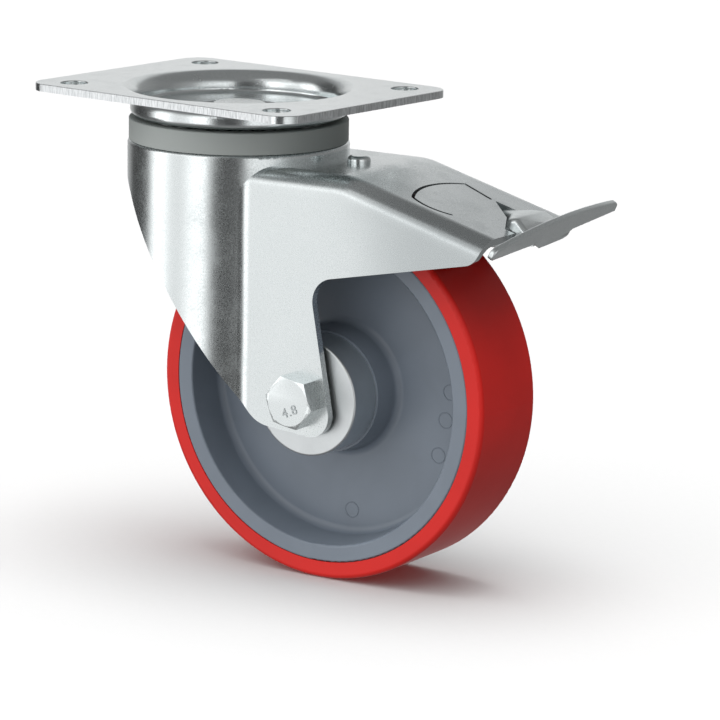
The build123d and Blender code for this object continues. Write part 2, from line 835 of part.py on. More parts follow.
cam_bearing = radians(180 + pin_bearing + cam_lag_angle)
arm_top = roof_top_at(pin_x) - fork_sheet / cos(radians(roof_fall_angle)) - arm_web_gap
arm_end_x = pin_x + arm_reach
arm_end_top = arm_top - arm_reach * roof_slope
foot_plate_x = pin_x + foot_plate_reach
foot_plate_z = -pin_depth + foot_plate_rise
hump_front_x = pin_x + notch_corner_reach
hump_top_x = pin_x + hump_top_reach
hump_top_z = -pin_depth + hump_top_rise
neck_side_low = foot_plate_z - foot_plate_front + foot_plate_edge_radius


def arm_channel(half_width, inset):
    """Outline of the pedal's arm under the roof, or of the hollow below its sheet."""
    low = -pin_depth - cheek_round if inset == 0 else -wheel_drop
    end_low = arm_end_top - cheek_thickness if inset == 0 else -wheel_drop
    with BuildPart() as channel:
        with BuildSketch(Plane.XZ):
            with BuildLine():
                Polyline(
                    (pin_x - inset, arm_top - inset),
                    (arm_end_x, arm_end_top - inset),
                    (arm_end_x, end_low),
                    (pin_x - inset, low),
                    close=True,
                )
            make_face()
        extrude(amount=half_width, both=True)
    return channel.part


def neck_hump(inset):
    """Raised neck that stands in the roof's opening, or the hollow below its sheet."""
    low = arm_end_top - cheek_thickness if inset == 0 else -wheel_drop
    rear_low = neck_side_low if inset == 0 else -wheel_drop
    with BuildPart() as hump:
        with BuildSketch(Plane.XY.offset(-wheel_drop)):
            with BuildLine():
                Polyline(*notch_outline(hump_gap + inset), close=True)
            make_face()
        extrude(amount=wheel_drop)
        with BuildSketch(Plane.XZ):
            with BuildLine():
                Polyline(
                    (hump_front_x, low),
                    (hump_front_x, roof_top_at(hump_front_x) - hump_front_drop - inset),
                    (hump_top_x, hump_top_z - inset),
                    (hump_top_x + hump_top_length, hump_top_z - inset),
                    (foot_plate_x, foot_plate_z - hump_rear_drop - inset),
                    (foot_plate_x, rear_low),
                    (arm_end_x, low),
                    close=True,
                )
            make_face()
        extrude(amount=fork_width, both=True, mode=Mode.INTERSECT)
        if inset == 0:
            crests = hump.faces().filter_by(lambda f: f.normal_at().Z > 0.5).edges()
            sides = crests.filter_by(lambda e: abs((e @ 0).X - (e @ 1).X) > 1)
            fillet(sides, hump_edge_radius)
    return hump.part


with BuildPart() as foot_plate:
    foot_frame = Plane(
        origin=(foot_plate_x, 0, foot_plate_z),
        x_dir=(0, 1, 0),
        z_dir=(sin(radians(foot_plate_tilt)), 0, -cos(radians(foot_plate_tilt))),
    ).rotated((0, 0, foot_plate_skew))
    with BuildSketch(foot_frame) as foot_outline:
        half_plate = foot_plate_width / 2
        half_front = foot_plate_front_width / 2
        with BuildLine():
            ThreePointArc(
                (-half_plate, foot_plate_end_rise), (0, foot_plate_crown), (half_plate, foot_plate_end_rise)
            )
            Polyline(
                (half_plate, foot_plate_end_rise),
                (half_plate, -foot_plate_wing_drop / 2),
                (foot_plate_wing_start, -foot_plate_wing_drop),
                (half_front, -foot_plate_front),
                (-half_front, -foot_plate_front),
                (-foot_plate_wing_start, -foot_plate_wing_drop),
                (-half_plate, -foot_plate_wing_drop / 2),
                (-half_plate, foot_plate_end_rise),
            )
        make_face()
        tips = foot_outline.vertices().filter_by(lambda v: abs(v.X) > half_plate - 1 and v.Y > 0)
        fillet(tips, foot_plate_tip_radius)
    extrude(amount=foot_plate_thickness)
    fillet(foot_plate.edges().filter_by(GeomType.CIRCLE), foot_plate_edge_radius)

with BuildPart() as brake_pedal:
    add(arm_channel(arm_half_width, 0))
    with BuildSketch(Plane.XZ):
        with Locations((pin_x, -pin_depth)):
            Circle(cheek_round)
        cam_centre = cam_reach - cam_tip_radius
        with BuildLine():
            normal_x, normal_z = -sin(cam_bearing), cos(cam_bearing)
            tip_x = pin_x + cam_centre * cos(cam_bearing)
            tip_z = -pin_depth + cam_centre * sin(cam_bearing)
            Polyline(
                (pin_x + cheek_round * normal_x, -pin_depth + cheek_round * normal_z),
                (tip_x + cam_tip_radius * normal_x, tip_z + cam_tip_radius * normal_z),
                (tip_x - cam_tip_radius * normal_x, tip_z - cam_tip_radius * normal_z),
                (pin_x - cheek_round * normal_x, -pin_depth - cheek_round * normal_z),
                close=True,
            )
        make_face()
        with Locations((tip_x, tip_z)):
            Circle(cam_tip_radius)
    extrude(amount=arm_half_width, both=True)
    add(neck_hump(0))
    add(arm_channel(arm_half_width - cheek_thickness, cheek_thickness), mode=Mode.SUBTRACT)
    add(neck_hump(cheek_thickness), mode=Mode.SUBTRACT)
    with BuildSketch(Plane.XZ):
        with Locations((pin_x, -pin_depth)):
            Circle(cam_reach + running_clearance)
    extrude(amount=arm_half_width - cheek_thickness, both=True, mode=Mode.SUBTRACT)
    add(foot_plate.part)
    with BuildSketch(Plane(origin=(pin_x, 0, -pin_depth), z_dir=(0, 1, 0))):
        Circle(pin_radius + running_clearance)
    extrude(amount=arm_half_width + 1, both=True, mode=Mode.SUBTRACT)

on_plate = {
    "top_plate": top_plate,
    "kingpin": kingpin,
    "race_cup": race_cup,
    "lock_ring": lock_ring,
    "kingpin_washer": kingpin_washer,
    "kingpin_nut": kingpin_nut,
    "upper_balls": upper_balls,
    "lower_balls": lower_balls,
}
on_fork = {
    "fork": fork,
    "dust_seal": dust_seal,
    "axle_bolt": axle_bolt,
    "axle_washer": axle_washer,
    "axle_nut": axle_nut,
    "axle_tube": axle_tube,
    "centre_bush": centre_bush,
    "left_bush": bushes["left"],
    "right_bush": bushes["right"],
    "roof_rivet": roof_rivet,
    "pedal_pin": pedal_pin,
    "brake_leaf": brake_leaf,
    "brake_pedal": brake_pedal,
    "wheel_centre": wheel_centre,
    "tread": tread,
}
for side, word in ((-1, "left"), (1, "right")):
    on_fork[f"{word}_inner_race"] = bearing_ring(
        side, bearing_bore_radius, bearing_pitch_radius - bearing_ball_diameter / 2 + bearing_groove_depth
    )
    on_fork[f"{word}_outer_race"] = bearing_ring(
        side, bearing_pitch_radius + bearing_ball_diameter / 2 - bearing_groove_depth, bearing_outer_radius
    )
    on_fork[f"{word}_bearing_balls"] = bearing_balls(side)
    on_fork[f"{word}_hub_cap"] = hub_cap(side)

swing = Location((0, 0, 0), (0, 0, rest_swivel))
for piece in on_fork.values():
    piece.part.move(swing)

os.makedirs("parts", exist_ok=True)
for name, piece in {**on_plate, **on_fork}.items():
    piece.part.label = name
    export_step(piece.part, f"parts/{name}.step")
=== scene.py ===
from math import cos, pi, radians, sin

import bmesh
import bpy
from bpy.props import FloatProperty, FloatVectorProperty, PointerProperty
from bpy.types import Operator, Panel, PropertyGroup
from mathutils import Matrix, Vector


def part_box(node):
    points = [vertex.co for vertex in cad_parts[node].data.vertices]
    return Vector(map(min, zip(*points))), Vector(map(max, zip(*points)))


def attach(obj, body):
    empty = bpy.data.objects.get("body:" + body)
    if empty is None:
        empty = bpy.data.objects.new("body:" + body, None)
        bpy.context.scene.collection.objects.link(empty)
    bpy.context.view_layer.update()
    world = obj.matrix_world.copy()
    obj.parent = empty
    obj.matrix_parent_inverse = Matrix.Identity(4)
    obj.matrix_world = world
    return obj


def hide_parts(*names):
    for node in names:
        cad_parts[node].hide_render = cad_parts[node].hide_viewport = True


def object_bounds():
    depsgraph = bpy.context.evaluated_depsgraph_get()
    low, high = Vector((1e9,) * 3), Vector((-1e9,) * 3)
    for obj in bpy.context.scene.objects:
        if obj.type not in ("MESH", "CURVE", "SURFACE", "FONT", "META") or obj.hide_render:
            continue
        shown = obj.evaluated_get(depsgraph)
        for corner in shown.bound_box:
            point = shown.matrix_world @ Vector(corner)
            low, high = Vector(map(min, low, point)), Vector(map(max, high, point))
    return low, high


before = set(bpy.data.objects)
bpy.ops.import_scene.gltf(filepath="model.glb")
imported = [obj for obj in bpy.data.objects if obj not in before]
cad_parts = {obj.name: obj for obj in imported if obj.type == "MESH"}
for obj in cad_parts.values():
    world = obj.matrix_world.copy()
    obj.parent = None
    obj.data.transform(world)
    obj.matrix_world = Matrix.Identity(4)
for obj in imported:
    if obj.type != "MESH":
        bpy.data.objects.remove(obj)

bl_info = {
    "name": "Swivel castor finish",
    "version": (1, 0, 0),
    "blender": (4, 5, 0),
    "location": "3D view > Sidebar > Castor",
    "description": "Dresses a swivel castor with a foot brake and sets up its studio",
    "category": "Object",
}

cad_low, cad_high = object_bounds()
MM = 0.001
REST_SWIVEL = radians(5.4)
TRAIL = 53.5 * MM
WHEEL_DROP = 115 * MM
FLOOR = cad_low.z
FORK_TURN = Matrix.Rotation(REST_SWIVEL, 4, "Z")
WHEEL_CENTRE = FORK_TURN @ Vector((TRAIL, 0, -WHEEL_DROP))
PEDAL_PIN = Vector((107.987, 0, -44.502)) * MM
PLATE_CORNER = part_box("top_plate")[1]
MERGE_DISTANCE = 0.002 * MM
SHEET_GRAIN = 1500
SHEET_WAVE = 45
# A range along X that covers everything: the strength mark is painted darker all over, as painted shade of
# its relief.
PAINTED_SHADE_ALL_OVER = (-2.0, -1.0)

FIXING_NODES = (
    "kingpin", "axle_bolt", "axle_washer", "axle_nut", "kingpin_washer", "kingpin_nut", "roof_rivet",
    "pedal_pin", "lock_ring", "race_cup", "axle_tube",
)
BEARING_NODES = (
    "upper_balls", "lower_balls", "left_inner_race", "right_inner_race", "left_outer_race",
    "right_outer_race", "left_bearing_balls", "right_bearing_balls", "centre_bush", "left_bush",
    "right_bush",
)


class CastorColours(PropertyGroup):
    """Colours of the castor's finishes."""

    zinc: FloatVectorProperty(
        name="Zinc", description="Colour of the blue zinc plating", subtype="COLOR",
        default=(0.79, 0.83, 0.835), min=0, max=1)
    zinc_shade: FloatVectorProperty(
        name="Zinc shade", description="Darker grains of the plating", subtype="COLOR",
        default=(0.65, 0.695, 0.70), min=0, max=1)
    # Darker zinc: the fork's darker rear end, and painted shade over the raised strength mark on the bolt
    # head.
    zinc_darker_and_painted_shade: FloatVectorProperty(
        name="Darker zinc", description="Zinc darkened toward the fork's rear end, and painted shade on the strength mark", subtype="COLOR",
        default=(0.36, 0.39, 0.4), min=0, max=1)
    cut_dark: FloatVectorProperty(
        name="Cut edge, dark", description="Dark streaks of the plate's sheared edge", subtype="COLOR",
        default=(0.5, 0.52, 0.53), min=0, max=1)
    cut_bright: FloatVectorProperty(
        name="Cut edge, bright", description="Bright streaks of the plate's sheared edge", subtype="COLOR",
        default=(0.88, 0.9, 0.91), min=0, max=1)
    ground_steel: FloatVectorProperty(
        name="Ground steel", description="Colour of the bearings' balls and rings", subtype="COLOR",
        default=(0.74, 0.74, 0.75), min=0, max=1)
    ground_shade: FloatVectorProperty(
        name="Ground steel shade", description="Darker grains of the ground steel", subtype="COLOR",
        default=(0.62, 0.62, 0.63), min=0, max=1)
    tread: FloatVectorProperty(
        name="Tread", description="Colour of the polyurethane tread", subtype="COLOR",
        default=(0.6, 0.012, 0.008), min=0, max=1)
    centre: FloatVectorProperty(
        name="Wheel centre", description="Colour of the moulded wheel centre", subtype="COLOR",
        default=(0.165, 0.195, 0.235), min=0, max=1)
    seal: FloatVectorProperty(
        name="Dust seal", description="Colour of the ring round the ball race", subtype="COLOR",
        default=(0.32, 0.345, 0.335), min=0, max=1)
    cap: FloatVectorProperty(
        name="Hub cap", description="Colour of the hub caps", subtype="COLOR",
        default=(0.7, 0.73, 0.74), min=0, max=1)


class CastorSizes(PropertyGroup):
    """Sizes of the small details and of the view."""

    mark_radius: FloatProperty(
        name="Mark radius", description="Radius of the round moulding marks on the web",
        default=3.3 * MM, min=0, unit="LENGTH")
    mark_line: FloatProperty(
        name="Mark line", description="Width of a moulding mark's raised line",
        default=0.45 * MM, min=0, unit="LENGTH")
    mark_height: FloatProperty(
        name="Mark height", description="How far a moulding mark stands up",
        default=0.12 * MM, min=0, unit="LENGTH")
    plate_skew: FloatProperty(
        name="Foot plate skew", description="How much lower the foot plate's near end is",
        default=radians(5.8), subtype="ANGLE")
    plate_slide: FloatProperty(
        name="Foot plate slide", description="How far the foot plate sits down its own slope",
        default=1.5 * MM, unit="LENGTH")
    bolt_turn: FloatProperty(
        name="Bolt turn", description="Turn of the axle bolt's hexagon",
        default=radians(10), subtype="ANGLE")
    camera_azimuth: FloatProperty(
        name="Azimuth", description="Camera's turn round the castor",
        default=radians(38.35), subtype="ANGLE")
    camera_elevation: FloatProperty(
        name="Elevation", description="Camera's height above the horizon",
        default=radians(12.26), subtype="ANGLE")
    camera_roll: FloatProperty(
        name="Roll", description="Camera's roll", default=radians(0.86), subtype="ANGLE")
    camera_distance: FloatProperty(
        name="Distance", description="Camera's distance from its target",
        default=1.5968, min=0, unit="LENGTH")
    camera_lens: FloatProperty(
        name="Lens", description="Focal length on a 36 mm sensor, in millimetres",
        default=200.6, min=1)
    target_right: FloatProperty(
        name="Target right", description="Camera's target, to the right of the wheel's centre",
        default=5.05 * MM, unit="LENGTH")
    target_up: FloatProperty(
        name="Target up", description="Camera's target, above the wheel's centre",
        default=9.66 * MM, unit="LENGTH")


class Value:
    """Shader value: sums written on it add the Math nodes that work them out."""

    def __init__(self, finish, socket):
        self.finish = finish
        self.socket = socket

    def maths(self, operation, *terms):
        """Adds the Math node that works out one operation on its terms."""
        return self.finish.node("ShaderNodeMath", {"operation": operation}, dict(enumerate(terms)))

    def __add__(self, other):
        return self.maths("ADD", self, other)

    def __radd__(self, other):
        return self.maths("ADD", other, self)

    def __sub__(self, other):
        return self.maths("SUBTRACT", self, other)

    def __rsub__(self, other):
        return self.maths("SUBTRACT", other, self)

    def __mul__(self, other):
        return self.maths("MULTIPLY", self, other)

    def __rmul__(self, other):
        return self.maths("MULTIPLY", other, self)

    def __gt__(self, other):
        return self.maths("GREATER_THAN", self, other)

    def __abs__(self):
        return self.maths("ABSOLUTE", self)

    def larger(self, other):
        return self.maths("MAXIMUM", self, other)


class Finish:
    """Node tree of one material or of the surroundings."""

    def __init__(self, owner):
        owner.use_nodes = True
        self.owner = owner
        self.tree = owner.node_tree

    def node(self, kind, settings=None, inputs=None, output=0):
        """Makes one node: its settings first, then the values or links of its sockets."""
        made = self.tree.nodes.new(kind)
        for key, setting in (settings or {}).items():
            if key == "stops":
                ramp = made.color_ramp
                while len(ramp.elements) < len(setting):
                    ramp.elements.new(0.5)
                for element, (position, colour) in zip(ramp.elements, setting):
                    element.position = position
                    element.color = colour if isinstance(colour, tuple) else (colour,) * 3 + (1,)
            elif key == "interpolation":
                made.color_ramp.interpolation = setting
            else:
                setattr(made, key, setting)
        for key, given in (inputs or {}).items():
            self.feed(made.inputs[key], given)
        return Value(self, made.outputs[output])

    def feed(self, socket, given):
        """Links a value to a socket, or sets a plain one."""
        if isinstance(given, Value):
            self.tree.links.new(given.socket, socket)
        else:
            socket.default_value = given

    def place(self, scale=(1, 1, 1), turn=(0, 0, 0)):
        """Object coordinates, scaled and turned."""
        here = self.node("ShaderNodeTexCoord", output="Object")
        return self.node("ShaderNodeMapping", None, {"Vector": here, "Rotation": turn, "Scale": scale})

    def axes(self, way):
        """X, Y and Z of a vector."""
        split = self.node("ShaderNodeSeparateXYZ", None, {"Vector": way}).socket.node
        return [Value(self, split.outputs[axis]) for axis in "XYZ"]

    def noise(self, scale, detail=2.0, roughness=0.5, where=None, distortion=0.0):
        """Soft random shades, with the scale as their number in a metre."""
        inputs = {"Scale": scale, "Detail": detail, "Roughness": roughness, "Distortion": distortion}
        inputs["Vector"] = where if where is not None else self.place()
        return self.node("ShaderNodeTexNoise", {"noise_dimensions": "3D"}, inputs, "Fac")

    def ramp(self, value, stops):
        """Eased shades along a value, from stops of position and shade."""
        return self.node(
            "ShaderNodeValToRGB", {"stops": stops, "interpolation": "EASE"}, {"Fac": value}, "Color")

    def between(self, value, low, high):
        """0 below low, 1 above high, and a soft step from one to the other."""
        return self.node(
            "ShaderNodeMapRange", {"clamp": True, "interpolation_type": "SMOOTHSTEP"},
            {"Value": value, "From Min": low, "From Max": high})

    def tint(self, factor, first, second):
        """Mixes two colours."""
        return self.node(
            "ShaderNodeMix", {"data_type": "RGBA", "blend_type": "MIX"},
            {0: factor, 6: colour(first), 7: colour(second)}, 2)

    def bump(self, height, strength, distance, under=None):
        """Relief of the given depth, on the relief under it."""
        inputs = {"Height": height, "Strength": strength, "Distance": distance}
        if under is not None:
            inputs["Normal"] = under
        return self.node("ShaderNodeBump", None, inputs, "Normal")

    def surface(self, **inputs):
        """Sets the main shader's sockets, given by name with spaces as underscores."""
        shader = self.tree.nodes["Principled BSDF"]
        for key, given in inputs.items():
            self.feed(shader.inputs[key.replace("_", " ")], given)
        return self.owner


def colour(given):
    """A plain colour gets its fourth number; a link stays as it is."""
    if isinstance(given, Value):
        return given
    return (*given[:3], 1.0)


def new_finish(name):
    """Node tree of a new material."""
    return Finish(bpy.data.materials.new(name))


def darker(tone, share):
    """The given share of a colour's light."""
    return tuple(part * share for part in tone)


def sheet_shades(coat, clouds):
    """Fine noise of the rolled sheet, its darker grains, and the duller clouds of the plating."""
    fine = coat.noise(SHEET_GRAIN, 3, 0.65)
    cloud = coat.noise(clouds, 3, 0.6)
    return fine, coat.between(fine, 0.35, 0.68), coat.between(cloud, 0.45, 0.75)


def zinc_finish(name, shades, roughness, grain, scratches=0.0, darker_end=None):
    """Bright zinc plating on rolled sheet: fine grain, a slight wave and a few duller patches.

    The scratches run along the rolled sheet. Between the two places of darker_end along X the base colour
    turns darker: on the fork a darker rear end, on the strength mark painted shade all over.
    """
    coat = new_finish(name)
    fine, grains, dull_and_painted_shade = sheet_shades(coat, 90)
    patch = coat.noise(24)
    base = coat.tint(grains * 0.55 * grain + dull_and_painted_shade * 0.2, shades.zinc, shades.zinc_shade)
    # The base colour turns darker between two places along X: on the fork a darker rear end, on the
    # strength mark painted shade all over.
    if darker_end:
        along = coat.axes(coat.place())[0]
        ragged = patch * (30 * MM)
        end = coat.between(along + ragged, *darker_end)
        base = coat.tint(end * 0.6, base, shades.zinc_darker_and_painted_shade)
    rough = roughness + grains * 0.07 * grain + dull_and_painted_shade * 0.06 + patch * 0.05
    normal = coat.bump(coat.noise(SHEET_WAVE, 1, 0.4), 0.35, 0.6 * MM)
    normal = coat.bump(fine, 0.12 * grain, 0.05 * MM, normal)
    if scratches:
        rolled = coat.place((2600, 110, 110), (0, 0, radians(12)))
        lines = coat.noise(1.0, where=rolled)
        marks = coat.between(lines, 0.66, 0.72)
        rough = rough + marks * 0.15 * scratches
        normal = coat.bump(1 - marks, 0.3 * scratches, 0.04 * MM, normal)
    return coat.surface(Base_Color=base, Metallic=1.0, Roughness=rough, Normal=normal)


def plate_finish(shades):
    """The plate's zinc, with a streaky sheared edge all round."""
    coat = new_finish("zinc_plate")
    edge_depth = 0.35 * MM
    along, across, _ = coat.axes(coat.place())
    edge_x = abs(along) - (PLATE_CORNER.x - edge_depth)
    edge_y = abs(across) - (PLATE_CORNER.y - edge_depth)
    edge = edge_x.larger(edge_y) > 0.0
    fine, grains, dull_and_painted_shade = sheet_shades(coat, 80)
    streaks = coat.noise(1.0, 3, 0.7, coat.place((2300, 2300, 240)))
    face = coat.tint(grains * 0.5 + dull_and_painted_shade * 0.2, shades.zinc, shades.zinc_shade)
    torn = coat.between(streaks, 0.3, 0.7)
    cut = coat.tint(torn, shades.cut_dark, shades.cut_bright)
    base = coat.tint(edge, face, cut)
    face_rough = 0.17 + grains * 0.07 + dull_and_painted_shade * 0.05
    cut_rough = 0.3 + torn * 0.22
    rough = face_rough * (1 - edge) + cut_rough * edge
    normal = coat.bump(coat.noise(SHEET_WAVE, 1, 0.4), 0.3, 0.6 * MM)
    relief = fine * (1 - edge) * 0.4 + streaks * edge * 0.7
    normal = coat.bump(relief, 0.35, 0.12 * MM, normal)
    return coat.surface(Base_Color=base, Metallic=1.0, Roughness=rough, Normal=normal)


def bearing_finish(shades):
    """Hardened and ground steel, with fine turning lines."""
    coat = new_finish("ground_steel")
    fine = coat.noise(2600)
    base = coat.tint(coat.between(fine, 0.3, 0.7), shades.ground_shade, shades.ground_steel)
    normal = coat.bump(fine, 0.05, 0.03 * MM)
    return coat.surface(Base_Color=base, Metallic=1.0, Roughness=0.16 + fine * 0.1, Normal=normal)


def moulded_finish(name, tone, roughness, mottle=0.48, texture=0.1):
    """Injection moulding: slight mottle, flow lines and a fine satin texture."""
    coat = new_finish(name)
    fine = coat.noise(2200, 2, 0.6)
    flow = coat.noise(40, 3, 0.55, distortion=0.6)
    base = coat.tint(coat.between(flow, 0.3, 0.75) * mottle, tone, darker(tone, 0.82))
    rough = roughness + fine * 0.08 + flow * 0.05
    normal = coat.bump(flow, 0.12, 0.8 * MM)
    normal = coat.bump(fine, texture, 0.05 * MM, normal)
    return coat.surface(Base_Color=base, Roughness=rough, Normal=normal)


def tread_finish(shades):
    """Cast polyurethane: even red with a soft sheen and faint marks of the mould."""
    coat = new_finish("polyurethane_tread")
    fine = coat.noise(1800, 2, 0.6)
    cloud = coat.noise(35, 3)
    base = coat.tint(coat.between(cloud, 0.3, 0.75) * 0.6, shades.tread, darker(shades.tread, 0.84))
    rough = 0.34 + fine * 0.1 + cloud * 0.06
    normal = coat.bump(cloud, 0.12, 0.9 * MM)
    normal = coat.bump(fine, 0.1, 0.06 * MM, normal)
    return coat.surface(Base_Color=base, Specular_IOR_Level=0.3, Roughness=rough, Normal=normal)


def cap_finish(shades):
    """Silver-grey satin of the hub caps."""
    coat = new_finish("satin_cap")
    fine = coat.noise(1600, 2, 0.6)
    cloud = coat.noise(60, 3, 0.55)
    spots = coat.between(cloud, 0.35, 0.7) * 0.5 + fine * 0.3
    base = coat.tint(spots, shades.cap, darker(shades.cap, 0.85))
    rough = 0.3 + fine * 0.08 + cloud * 0.06
    normal = coat.bump(fine, 0.1, 0.04 * MM)
    return coat.surface(Base_Color=base, Metallic=1.0, Roughness=rough, Normal=normal)


def dress(nodes, material):
    """Puts one finish on carried-over nodes of the frame."""
    for name in nodes:
        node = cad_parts[name]
        for slot in node.material_slots:
            slot.material = material
        if not node.material_slots:
            node.data.materials.append(material)


def merged_copy(node):
    """Copy of a carried-over node's mesh, with its loose triangles joined."""
    shape = bmesh.new()
    shape.from_mesh(node.data)
    bmesh.ops.remove_doubles(shape, verts=shape.verts, dist=MERGE_DISTANCE)
    return shape


def finished_piece(name, shape, material, body):
    """Turns a bmesh into a smooth piece that rides on a body."""
    bmesh.ops.recalc_face_normals(shape, faces=shape.faces)
    mesh = bpy.data.meshes.new(name)
    shape.to_mesh(mesh)
    shape.free()
    for face in mesh.polygons:
        face.use_smooth = True
    piece = bpy.data.objects.new(name, mesh)
    bpy.context.scene.collection.objects.link(piece)
    mesh.materials.append(material)
    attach(piece, body)
    return piece


class CASTOR_OT_metal(Operator):
    """Give the metal pieces their zinc plating or ground steel"""

    bl_idname = "castor.metal"
    bl_label = "Metal finishes"

    def execute(self, context):
        shades = context.scene.castor_colours
        dress(("top_plate",), plate_finish(shades))
        # The fork's base colour turns darker toward its rear end, between these two places along X.
        fork_tail = (75 * MM, 130 * MM)
        fork_coat = zinc_finish("zinc_fork", shades, 0.19, 1.0, scratches=0.25, darker_end=fork_tail)
        dress(("fork",), fork_coat)
        dress(("brake_pedal",), zinc_finish("zinc_pedal", shades, 0.26, 1.0))
        dress(FIXING_NODES, zinc_finish("zinc_fixings", shades, 0.2, 0.5))
        dress(("brake_leaf",), zinc_finish("zinc_spring", shades, 0.42, 1.3))
        dress(BEARING_NODES, bearing_finish(shades))
        return {"FINISHED"}


class CASTOR_OT_wheel(Operator):
    """Give the tread, the wheel centre, the hub caps and the dust seal their finishes"""

    bl_idname = "castor.wheel"
    bl_label = "Wheel and seal finishes"

    def execute(self, context):
        shades = context.scene.castor_colours
        dress(("tread",), tread_finish(shades))
        dress(("wheel_centre",), moulded_finish("polyamide_centre", shades.centre, 0.3))
        dress(("left_hub_cap", "right_hub_cap"), cap_finish(shades))
        seal_coat = moulded_finish("moulded_seal", shades.seal, 0.5, mottle=0.2, texture=0.2)
        dress(("dust_seal",), seal_coat)
        return {"FINISHED"}


class CASTOR_OT_pedal(Operator):
    """Lower the near end of the pedal's foot plate, on a copy of the pedal"""

    bl_idname = "castor.pedal"
    bl_label = "Foot plate"

    plate_tilt = radians(60)
    plate_middle = PEDAL_PIN + Vector((38, 0, 3.5)) * MM
    plan_turn = Matrix.Rotation(radians(5.8), 4, "Z")
    half_width = 43 * MM
    front, back = -4.8 * MM, 7 * MM
    thickness = 2.5 * MM
    edge_slack = 0.05 * MM
    face_slack = 0.02 * MM
    sharp_angle = radians(30)

    def execute(self, context):
        """The plate's own X runs along it, Y up its slope and Z away from the wheel."""
        sizes = context.scene.castor_sizes
        lean = Matrix((
            (0, cos(self.plate_tilt), sin(self.plate_tilt)),
            (1, 0, 0),
            (0, sin(self.plate_tilt), -cos(self.plate_tilt)),
        )).to_4x4()
        middle = FORK_TURN @ Matrix.Translation(self.plate_middle)
        built = middle @ self.plan_turn @ lean
        slide = Matrix.Translation((0, -sizes.plate_slide, 0))
        seen = middle @ lean @ slide @ Matrix.Rotation(sizes.plate_skew, 4, "Z")
        onto_plate = built.inverted()
        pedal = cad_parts["brake_pedal"]
        shape = merged_copy(pedal)
        for v in shape.verts:
            here = onto_plate @ v.co
            if self.in_plate(here):
                v.co = seen @ here
        material = pedal.material_slots[0].material
        piece = finished_piece("foot_pedal", shape, material, "pedal")
        piece.data.set_sharp_from_angle(angle=self.sharp_angle)
        piece.modifiers.new("flat_faces", "WEIGHTED_NORMAL").keep_sharp = True
        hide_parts("brake_pedal")
        return {"FINISHED"}

    def in_plate(self, here):
        """True for a point of the foot plate, and not for one of the neck or the arm."""
        along = abs(here.x) <= self.half_width + self.edge_slack
        up_slope = self.front - self.edge_slack <= here.y <= self.back + self.edge_slack
        through = -self.face_slack <= here.z <= self.thickness + self.face_slack
        return along and up_slope and through


class CASTOR_OT_bolt(Operator):
    """Turn the axle bolt's head as it was tightened and raise its strength mark"""

    bl_idname = "castor.bolt"
    bl_label = "Axle bolt"

    sharp_angle = radians(8)
    mark = "4.8"
    mark_place = (1.0 * MM, -3.4 * MM)
    mark_size = 5.4 * MM
    mark_spacing = 1.15
    mark_slope = radians(25)
    mark_relief = 0.25 * MM
    mark_sharp_angle = radians(20)

    def execute(self, context):
        sizes = context.scene.castor_sizes
        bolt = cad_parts["axle_bolt"]
        axle = Matrix.Translation(WHEEL_CENTRE) @ FORK_TURN
        from_axle = axle.inverted()
        shape = merged_copy(bolt)
        turn = axle @ Matrix.Rotation(sizes.bolt_turn, 4, "Y") @ from_axle
        bmesh.ops.transform(shape, matrix=turn, verts=shape.verts)
        head_face = min((from_axle @ v.co).y for v in shape.verts)
        piece = finished_piece("axle_screw", shape, bolt.material_slots[0].material, "fork")
        piece.data.set_sharp_from_angle(angle=self.sharp_angle)
        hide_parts("axle_bolt")
        across, up = self.mark_place
        seat = axle @ Matrix.Translation((across, head_face, up)) @ Matrix.Rotation(pi / 2, 4, "X")
        letters = self.raised_letters(context, seat @ Matrix.Rotation(self.mark_slope, 4, "Z"))
        # The raised strength mark gets a darker zinc all over: painted shade that stands in for the
        # shading of its relief.
        dull_and_painted_shade = zinc_finish("zinc_mark_painted_shade", context.scene.castor_colours, 0.4, 1.0, darker_end=PAINTED_SHADE_ALL_OVER)
        piece = finished_piece("strength_mark", letters, dull_and_painted_shade, "fork")
        piece.data.set_sharp_from_angle(angle=self.mark_sharp_angle)
        return {"FINISHED"}

    def raised_letters(self, context, seat):
        """The strength mark as a bmesh, laid on its seat."""
        text = bpy.data.curves.new("strength_mark", "FONT")
        text.body = self.mark
        text.size = self.mark_size
        text.extrude = self.mark_relief
        text.space_character = self.mark_spacing
        text.align_x, text.align_y = "CENTER", "CENTER"
        words = bpy.data.objects.new("strength_words", text)
        context.scene.collection.objects.link(words)
        context.view_layer.update()
        flat = bpy.data.meshes.new_from_object(words)
        bpy.data.objects.remove(words)
        bpy.data.curves.remove(text)
        flat.transform(seat)
        shape = bmesh.new()
        shape.from_mesh(flat)
        bpy.data.meshes.remove(flat)
        return shape


